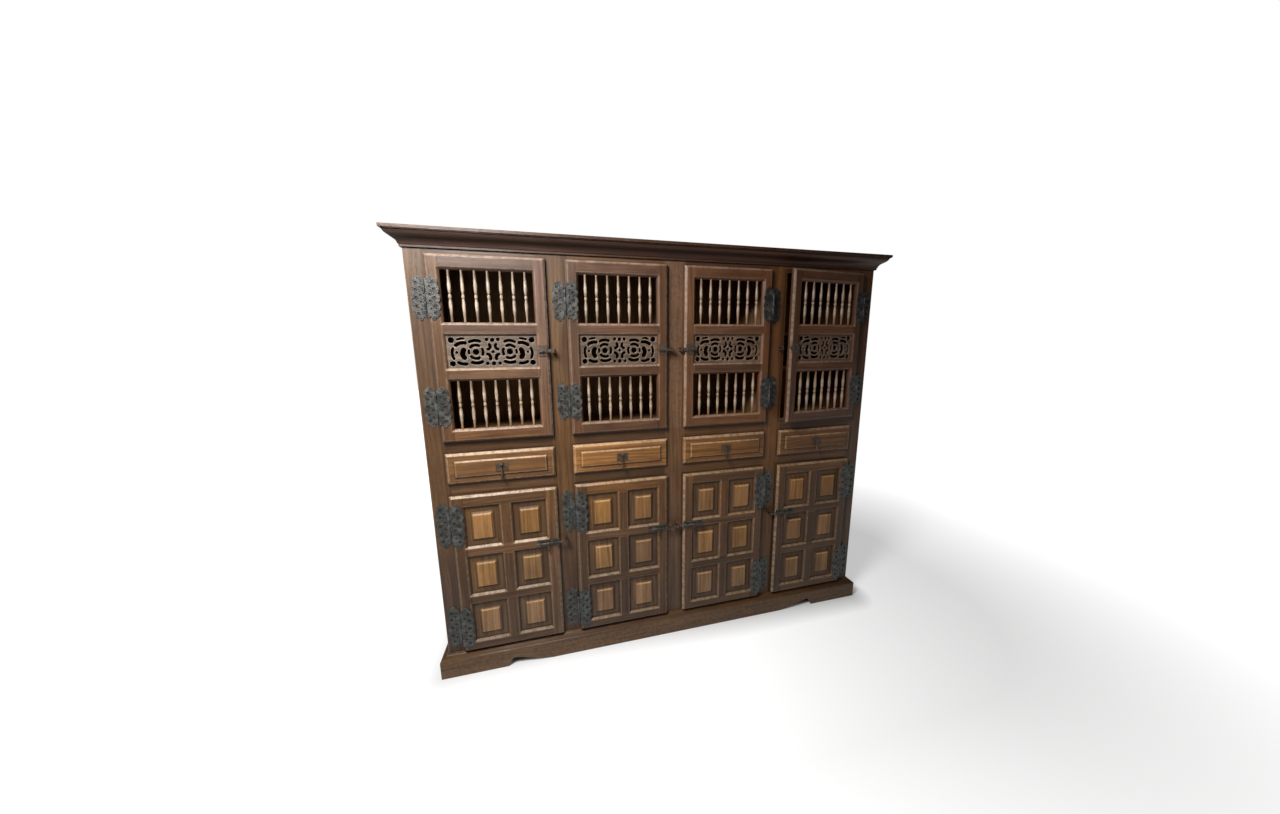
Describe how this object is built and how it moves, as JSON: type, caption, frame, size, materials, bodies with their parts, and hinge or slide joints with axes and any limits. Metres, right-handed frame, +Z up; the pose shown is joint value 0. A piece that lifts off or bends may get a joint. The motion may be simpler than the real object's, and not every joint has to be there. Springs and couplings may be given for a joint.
{
  "type": "trastero cabinet",
  "caption": "Wide wooden storage cabinet with grille doors above, drawers between, panelled doors below, pierced iron hinges, slide bolts, a moulded crown and a scrolled plinth.",
  "frame": {"origin": "on the floor at the middle of the space that the whole cabinet takes up, with one upper door standing ajar", "axes": "+Z up, +X to the viewer's right, the doors face -Y and the back stands at +Y"},
  "size_m": [2.306, 0.5196, 1.95],
  "materials": {
    "front_wood": "stained and waxed",
    "case_wood": "stained",
    "dark_wood": "dark stained and waxed",
    "panel_wood": "stained and waxed",
    "turned_wood": "stained and waxed",
    "carved_wood": "worn stain",
    "iron": "blue-grey patina"
  },
  "bodies": {
    "cabinet": {"top_board": "dark_wood", "side_panels": "case_wood", "dividers": "case_wood", "back_boards": "case_wood", "bottom_boards": "case_wood", "face_frame": "front_wood", "shelves_and_decks": "case_wood", "drawer_guides": "case_wood", "crown": "dark_wood", "plinth": "dark_wood", "hinge_post_leaves": "iron", "bolt_keepers": "iron"},
    "upper_door_1": {"upper_door_1_frame": "front_wood", "upper_door_1_spindles": "turned_wood", "upper_door_1_fretwork": "carved_wood", "upper_door_1_ironwork": "iron"},
    "upper_bolt_1": {"upper_door_1_bolt": "iron"},
    "upper_door_2": {"upper_door_2_frame": "front_wood", "upper_door_2_spindles": "turned_wood", "upper_door_2_fretwork": "carved_wood", "upper_door_2_ironwork": "iron"},
    "upper_bolt_2": {"upper_door_2_bolt": "iron"},
    "upper_door_3": {"upper_door_3_frame": "front_wood", "upper_door_3_spindles": "turned_wood", "upper_door_3_fretwork": "carved_wood", "upper_door_3_ironwork": "iron"},
    "upper_bolt_3": {"upper_door_3_bolt": "iron"},
    "upper_door_4": {"upper_door_4_frame": "front_wood", "upper_door_4_spindles": "turned_wood", "upper_door_4_fretwork": "carved_wood", "upper_door_4_ironwork": "iron"},
    "upper_bolt_4": {"upper_door_4_bolt": "iron"},
    "lower_door_1": {"lower_door_1_frame": "front_wood", "lower_door_1_panels": "panel_wood", "lower_door_1_ironwork": "iron"},
    "lower_bolt_1": {"lower_door_1_bolt": "iron"},
    "lower_door_2": {"lower_door_2_frame": "front_wood", "lower_door_2_panels": "panel_wood", "lower_door_2_ironwork": "iron"},
    "lower_bolt_2": {"lower_door_2_bolt": "iron"},
    "lower_door_3": {"lower_door_3_frame": "front_wood", "lower_door_3_panels": "panel_wood", "lower_door_3_ironwork": "iron"},
    "lower_bolt_3": {"lower_door_3_bolt": "iron"},
    "lower_door_4": {"lower_door_4_frame": "front_wood", "lower_door_4_panels": "panel_wood", "lower_door_4_ironwork": "iron"},
    "lower_bolt_4": {"lower_door_4_bolt": "iron"},
    "drawer_1": {"drawer_1_box": "front_wood", "drawer_1_pull_plate": "iron"},
    "drawer_1_drop": {"drawer_1_pull_drop": "iron"},
    "drawer_2": {"drawer_2_box": "front_wood", "drawer_2_pull_plate": "iron"},
    "drawer_2_drop": {"drawer_2_pull_drop": "iron"},
    "drawer_3": {"drawer_3_box": "front_wood", "drawer_3_pull_plate": "iron"},
    "drawer_3_drop": {"drawer_3_pull_drop": "iron"},
    "drawer_4": {"drawer_4_box": "front_wood", "drawer_4_pull_plate": "iron"},
    "drawer_4_drop": {"drawer_4_pull_drop": "iron"}
  },
  "joints": [
    {"name": "upper_door_1_hinge", "type": "hinge", "parent": "cabinet", "child": "upper_door_1", "pos_m": [-1.0325, -0.2027, 1.486], "axis": [0, 0, -1], "range_deg": [0, 110]},
    {"name": "upper_bolt_1_slide", "type": "slide", "parent": "upper_door_1", "child": "upper_bolt_1", "axis": [1, 0, 0], "range_m": [0, 0.014]},
    {"name": "upper_door_2_hinge", "type": "hinge", "parent": "cabinet", "child": "upper_door_2", "pos_m": [-0.4985, -0.2027, 1.486], "axis": [0, 0, -1], "range_deg": [0, 110]},
    {"name": "upper_bolt_2_slide", "type": "slide", "parent": "upper_door_2", "child": "upper_bolt_2", "axis": [1, 0, 0], "range_m": [0, 0.014]},
    {"name": "upper_door_3_hinge", "type": "hinge", "parent": "cabinet", "child": "upper_door_3", "pos_m": [0.4985, -0.2027, 1.486], "axis": [0, 0, 1], "range_deg": [0, 110]},
    {"name": "upper_bolt_3_slide", "type": "slide", "parent": "upper_door_3", "child": "upper_bolt_3", "axis": [-1, 0, 0], "range_m": [0, 0.014]},
    {"name": "upper_door_4_hinge", "type": "hinge", "parent": "cabinet", "child": "upper_door_4", "pos_m": [1.0325, -0.2027, 1.486], "axis": [0, 0, 1], "range_deg": [-5.5, 104.5]},
    {"name": "upper_bolt_4_slide", "type": "slide", "parent": "upper_door_4", "child": "upper_bolt_4", "axis": [-0.9954, -0.0958, 0], "range_m": [0, 0.014]},
    {"name": "lower_door_1_hinge", "type": "hinge", "parent": "cabinet", "child": "lower_door_1", "pos_m": [-1.0325, -0.2027, 0.49], "axis": [0, 0, -1], "range_deg": [0, 110]},
    {"name": "lower_bolt_1_slide", "type": "slide", "parent": "lower_door_1", "child": "lower_bolt_1", "axis": [1, 0, 0], "range_m": [0, 0.016]},
    {"name": "lower_door_2_hinge", "type": "hinge", "parent": "cabinet", "child": "lower_door_2", "pos_m": [-0.4985, -0.2027, 0.49], "axis": [0, 0, -1], "range_deg": [0, 110]},
    {"name": "lower_bolt_2_slide", "type": "slide", "parent": "lower_door_2", "child": "lower_bolt_2", "axis": [1, 0, 0], "range_m": [0, 0.016]},
    {"name": "lower_door_3_hinge", "type": "hinge", "parent": "cabinet", "child": "lower_door_3", "pos_m": [0.4985, -0.2027, 0.49], "axis": [0, 0, 1], "range_deg": [0, 110]},
    {"name": "lower_bolt_3_slide", "type": "slide", "parent": "lower_door_3", "child": "lower_bolt_3", "axis": [-1, 0, 0], "range_m": [0, 0.016]},
    {"name": "lower_door_4_hinge", "type": "hinge", "parent": "cabinet", "child": "lower_door_4", "pos_m": [1.0325, -0.2027, 0.49], "axis": [0, 0, 1], "range_deg": [0, 110]},
    {"name": "lower_bolt_4_slide", "type": "slide", "parent": "lower_door_4", "child": "lower_bolt_4", "axis": [-1, 0, 0], "range_m": [0, 0.016]},
    {"name": "drawer_1_slide", "type": "slide", "parent": "cabinet", "child": "drawer_1", "axis": [0, -1, 0], "range_m": [0, 0.3]},
    {"name": "drawer_1_drop_hinge", "type": "hinge", "parent": "drawer_1", "child": "drawer_1_drop", "pos_m": [-0.801, -0.2117, 1.0025], "axis": [-1, 0, 0], "range_deg": [0, 80]},
    {"name": "drawer_2_slide", "type": "slide", "parent": "cabinet", "child": "drawer_2", "axis": [0, -1, 0], "range_m": [0, 0.3]},
    {"name": "drawer_2_drop_hinge", "type": "hinge", "parent": "drawer_2", "child": "drawer_2_drop", "pos_m": [-0.267, -0.2117, 1.0025], "axis": [-1, 0, 0], "range_deg": [0, 80]},
    {"name": "drawer_3_slide", "type": "slide", "parent": "cabinet", "child": "drawer_3", "axis": [0, -1, 0], "range_m": [0, 0.3]},
    {"name": "drawer_3_drop_hinge", "type": "hinge", "parent": "drawer_3", "child": "drawer_3_drop", "pos_m": [0.267, -0.2117, 1.0025], "axis": [-1, 0, 0], "range_deg": [0, 80]},
    {"name": "drawer_4_slide", "type": "slide", "parent": "cabinet", "child": "drawer_4", "axis": [0, -1, 0], "range_m": [0, 0.3]},
    {"name": "drawer_4_drop_hinge", "type": "hinge", "parent": "drawer_4", "child": "drawer_4_drop", "pos_m": [0.801, -0.2117, 1.0025], "axis": [-1, 0, 0], "range_deg": [0, 80]}
  ]
}
